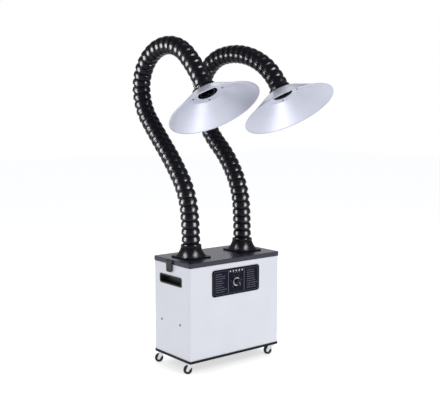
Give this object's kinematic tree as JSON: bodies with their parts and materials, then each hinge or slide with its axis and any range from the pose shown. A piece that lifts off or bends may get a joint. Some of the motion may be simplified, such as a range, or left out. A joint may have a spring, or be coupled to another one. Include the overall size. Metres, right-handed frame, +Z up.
{
  "type": "two-arm solder fume extractor",
  "caption": "White filter cabinet on swivel casters with a black lift-off lid and ball-jointed suction arms that end in conical metal hoods, for drawing off soldering fumes.",
  "frame": {"origin": "on the floor, under the centre of the cabinet", "axes": "+Z up, -Y towards the front with the control panel, +X to the right seen from the front"},
  "size_m": [0.6032, 0.704, 1.2296],
  "materials": {
    "white_paint": "fine satin powder coat, cool white",
    "black_paint": "textured black powder coat",
    "black_plastic": "fine-grained black moulding",
    "panel_film": "dark blue-black printed film, half gloss",
    "circuit_board": "green solder mask",
    "zinc_steel": "bright zinc plate",
    "motor_paint": "black enamel",
    "impeller_plastic": "black moulded plastic",
    "filter_paper": "pleated filter paper in a card frame",
    "filter_fleece": "white fibre fleece",
    "wheel_rubber": "black rubber",
    "foam_seal": "black foam",
    "arm_plastic": "glossy black moulding",
    "hood_aluminium": "satin spun aluminium"
  },
  "bodies": {
    "cabinet": {"cabinet_shell": "white_paint", "rear_panel": "white_paint", "base_plate": "black_paint", "handle_cups": "black_plastic", "control_panel": "panel_film", "control_board": "circuit_board", "power_inlet": "black_plastic", "filter_shelf": "zinc_steel", "main_filter": "filter_paper", "middle_filter": "filter_paper", "pre_filter": "filter_fleece", "blower_housing": "zinc_steel", "blower_motor": "motor_paint", "cabinet_screws": "zinc_steel", "caster_plates": "zinc_steel"},
    "dial": {"dial_shaft": "zinc_steel", "speed_knob": "black_plastic", "knob_ring": "zinc_steel"},
    "impeller": {"motor_shaft": "zinc_steel", "blower_impeller": "impeller_plastic"},
    "lid": {"top_lid": "black_paint", "lid_gasket": "foam_seal", "latch_pins": "zinc_steel", "arm_flange_left": "arm_plastic", "arm_flange_right": "arm_plastic", "flange_screws": "zinc_steel"},
    "latch_left": {"latch_left": "black_plastic"},
    "latch_right": {"latch_right": "black_plastic"},
    "fork_front_left": {"caster_fork_front_left": "zinc_steel"},
    "wheel_front_left": {"caster_wheel_front_left": "wheel_rubber"},
    "fork_front_right": {"caster_fork_front_right": "zinc_steel"},
    "wheel_front_right": {"caster_wheel_front_right": "wheel_rubber"},
    "fork_rear_left": {"caster_fork_rear_left": "zinc_steel"},
    "wheel_rear_left": {"caster_wheel_rear_left": "wheel_rubber"},
    "fork_rear_right": {"caster_fork_rear_right": "zinc_steel"},
    "wheel_rear_right": {"caster_wheel_rear_right": "wheel_rubber"},
    "left_section_1": {"left_arm_1": "arm_plastic"},
    "left_section_2": {"left_arm_2": "arm_plastic"},
    "left_section_3": {"left_arm_3": "arm_plastic"},
    "left_section_4": {"left_arm_4": "arm_plastic"},
    "left_section_5": {"left_arm_5": "arm_plastic"},
    "left_section_6": {"left_arm_6": "arm_plastic"},
    "left_section_7": {"left_arm_7": "arm_plastic"},
    "left_hood": {"hood_collar_left": "arm_plastic", "hood_left": "hood_aluminium", "hood_screws_left": "zinc_steel"},
    "left_damper": {"damper_left": "zinc_steel"},
    "right_section_1": {"right_arm_1": "arm_plastic"},
    "right_section_2": {"right_arm_2": "arm_plastic"},
    "right_section_3": {"right_arm_3": "arm_plastic"},
    "right_section_4": {"right_arm_4": "arm_plastic"},
    "right_section_5": {"right_arm_5": "arm_plastic"},
    "right_section_6": {"right_arm_6": "arm_plastic"},
    "right_section_7": {"right_arm_7": "arm_plastic"},
    "right_hood": {"hood_collar_right": "arm_plastic", "hood_right": "hood_aluminium", "hood_screws_right": "zinc_steel"},
    "right_damper": {"damper_right": "zinc_steel"}
  },
  "joints": [
    {"name": "lid_lift", "type": "slide", "parent": "cabinet", "child": "lid", "axis": [0, 0, 1], "range_m": [0, 0.12]},
    {"name": "latch_left_flip", "type": "hinge", "parent": "lid", "child": "latch_left", "pos_m": [-0.219, 0.007, 0.4037], "axis": [0, 1, 0], "range_deg": [0, 95]},
    {"name": "latch_right_flip", "type": "hinge", "parent": "lid", "child": "latch_right", "pos_m": [0.219, 0.007, 0.4037], "axis": [0, -1, 0], "range_deg": [0, 95]},
    {"name": "dial_turn", "type": "hinge", "parent": "cabinet", "child": "dial", "pos_m": [0, -0.1125, 0.32], "axis": [0, 1, 0], "range_deg": [-270, 0]},
    {"name": "impeller_spin", "type": "hinge", "parent": "cabinet", "child": "impeller", "pos_m": [0, 0.0003, 0.13], "axis": [0, 0, 1], "continuous": true},
    {"name": "swivel_front_left", "type": "hinge", "parent": "cabinet", "child": "fork_front_left", "pos_m": [-0.1945, -0.0925, 0.036], "axis": [0, 0, 1], "continuous": true},
    {"name": "roll_front_left", "type": "hinge", "parent": "fork_front_left", "child": "wheel_front_left", "pos_m": [-0.20369, -0.08479, 0.016], "axis": [0.6428, 0.766, 0], "continuous": true},
    {"name": "swivel_front_right", "type": "hinge", "parent": "cabinet", "child": "fork_front_right", "pos_m": [0.1945, -0.0925, 0.036], "axis": [0, 0, 1], "continuous": true},
    {"name": "roll_front_right", "type": "hinge", "parent": "fork_front_right", "child": "wheel_front_right", "pos_m": [0.18531, -0.08479, 0.016], "axis": [0.6428, 0.766, 0], "continuous": true},
    {"name": "swivel_rear_left", "type": "hinge", "parent": "cabinet", "child": "fork_rear_left", "pos_m": [-0.1945, 0.0925, 0.036], "axis": [0, 0, 1], "continuous": true},
    {"name": "roll_rear_left", "type": "hinge", "parent": "fork_rear_left", "child": "wheel_rear_left", "pos_m": [-0.20369, 0.10021, 0.016], "axis": [0.6428, 0.766, 0], "continuous": true},
    {"name": "swivel_rear_right", "type": "hinge", "parent": "cabinet", "child": "fork_rear_right", "pos_m": [0.1945, 0.0925, 0.036], "axis": [0, 0, 1], "continuous": true},
    {"name": "roll_rear_right", "type": "hinge", "parent": "fork_rear_right", "child": "wheel_rear_right", "pos_m": [0.18531, 0.10021, 0.016], "axis": [0.6428, 0.766, 0], "continuous": true},
    {"name": "left_arm_swivel", "type": "hinge", "parent": "lid", "child": "left_section_1", "pos_m": [-0.124, 0, 0.446], "axis": [0, 0, 1], "range_deg": [-30, 0]},
    {"name": "left_bend_back_1", "type": "hinge", "parent": "left_section_1", "child": "left_section_2", "pos_m": [-0.12549, 0.01571, 0.61293], "axis": [-0.9956, -0.0941, 0], "range_deg": [-3, 6.8]},
    {"name": "left_lean_out_2", "type": "hinge", "parent": "left_section_2", "child": "left_section_3", "pos_m": [-0.13332, 0.09864, 0.75729], "axis": [0.0734, -0.7762, 0.6263], "range_deg": [0, 11.9]},
    {"name": "left_bend_forward_3", "type": "hinge", "parent": "left_section_3", "child": "left_section_4", "pos_m": [-0.1438, 0.20943, 0.8831], "axis": [0.9956, 0.0941, 0], "range_deg": [-12.9, 3.5]},
    {"name": "left_bend_back_4", "type": "hinge", "parent": "left_section_4", "child": "left_section_5", "pos_m": [-0.15083, 0.28389, 1.02935], "axis": [-0.9956, -0.0941, 0], "range_deg": [-2.24, 22.76]},
    {"name": "left_bend_forward_5", "type": "hinge", "parent": "left_section_5", "child": "left_section_6", "pos_m": [-0.14381, 0.20953, 1.17113], "axis": [0.9956, 0.0941, 0], "range_deg": [-22.76, 2.24]},
    {"name": "left_bend_back_6", "type": "hinge", "parent": "left_section_6", "child": "left_section_7", "pos_m": [-0.12868, 0.04954, 1.17543], "axis": [-0.9956, -0.0941, 0], "range_deg": [-2.59, 22.41]},
    {"name": "left_hood_tilt", "type": "hinge", "parent": "left_section_7", "child": "left_hood", "pos_m": [-0.11783, -0.06522, 1.05493], "axis": [0.9956, 0.0941, 0], "range_deg": [-15.41, 9.59]},
    {"name": "left_damper_turn", "type": "hinge", "parent": "left_hood", "child": "left_damper", "pos_m": [-0.1164, -0.08042, 1.03086], "axis": [0.9956, 0.0941, 0], "range_deg": [0, 90]},
    {"name": "right_arm_swivel", "type": "hinge", "parent": "lid", "child": "right_section_1", "pos_m": [0.124, 0, 0.446], "axis": [0, 0, 1], "range_deg": [0, 30]},
    {"name": "right_bend_back_1", "type": "hinge", "parent": "right_section_1", "child": "right_section_2", "pos_m": [0.12313, 0.00918, 0.61358], "axis": [-0.9956, -0.0941, 0], "range_deg": [-17.5, 3.1]},
    {"name": "right_lean_out_2", "type": "hinge", "parent": "right_section_2", "child": "right_section_3", "pos_m": [0.11633, 0.08117, 0.76345], "axis": [0.0737, -0.7794, 0.6222], "range_deg": [-11.41, 0]},
    {"name": "right_bend_forward_3", "type": "hinge", "parent": "right_section_3", "child": "right_section_4", "pos_m": [0.10576, 0.19293, 0.88792], "axis": [0.9956, 0.0941, 0], "range_deg": [-4, 8.4]},
    {"name": "right_bend_back_4", "type": "hinge", "parent": "right_section_4", "child": "right_section_5", "pos_m": [0.10224, 0.23022, 1.04632], "axis": [-0.9956, -0.0941, 0], "range_deg": [-2.2, 5.7]},
    {"name": "right_bend_forward_5", "type": "hinge", "parent": "right_section_5", "child": "right_section_6", "pos_m": [0.11278, 0.11865, 1.16097], "axis": [0.9956, 0.0941, 0], "range_deg": [-22.71, 2.29]},
    {"name": "right_bend_back_6", "type": "hinge", "parent": "right_section_6", "child": "right_section_7", "pos_m": [0.12837, -0.04623, 1.15126], "axis": [-0.9956, -0.0941, 0], "range_deg": [-7.19, 17.81]},
    {"name": "right_hood_tilt", "type": "hinge", "parent": "right_section_7", "child": "right_hood", "pos_m": [0.14084, -0.17819, 1.05255], "axis": [0.9956, 0.0941, 0], "range_deg": [-18.69, 6.31]},
    {"name": "right_damper_turn", "type": "hinge", "parent": "right_hood", "child": "right_damper", "pos_m": [0.14226, -0.19314, 1.02832], "axis": [0.08, -0.8461, 0.527], "range_deg": [0, 90]}
  ]
}
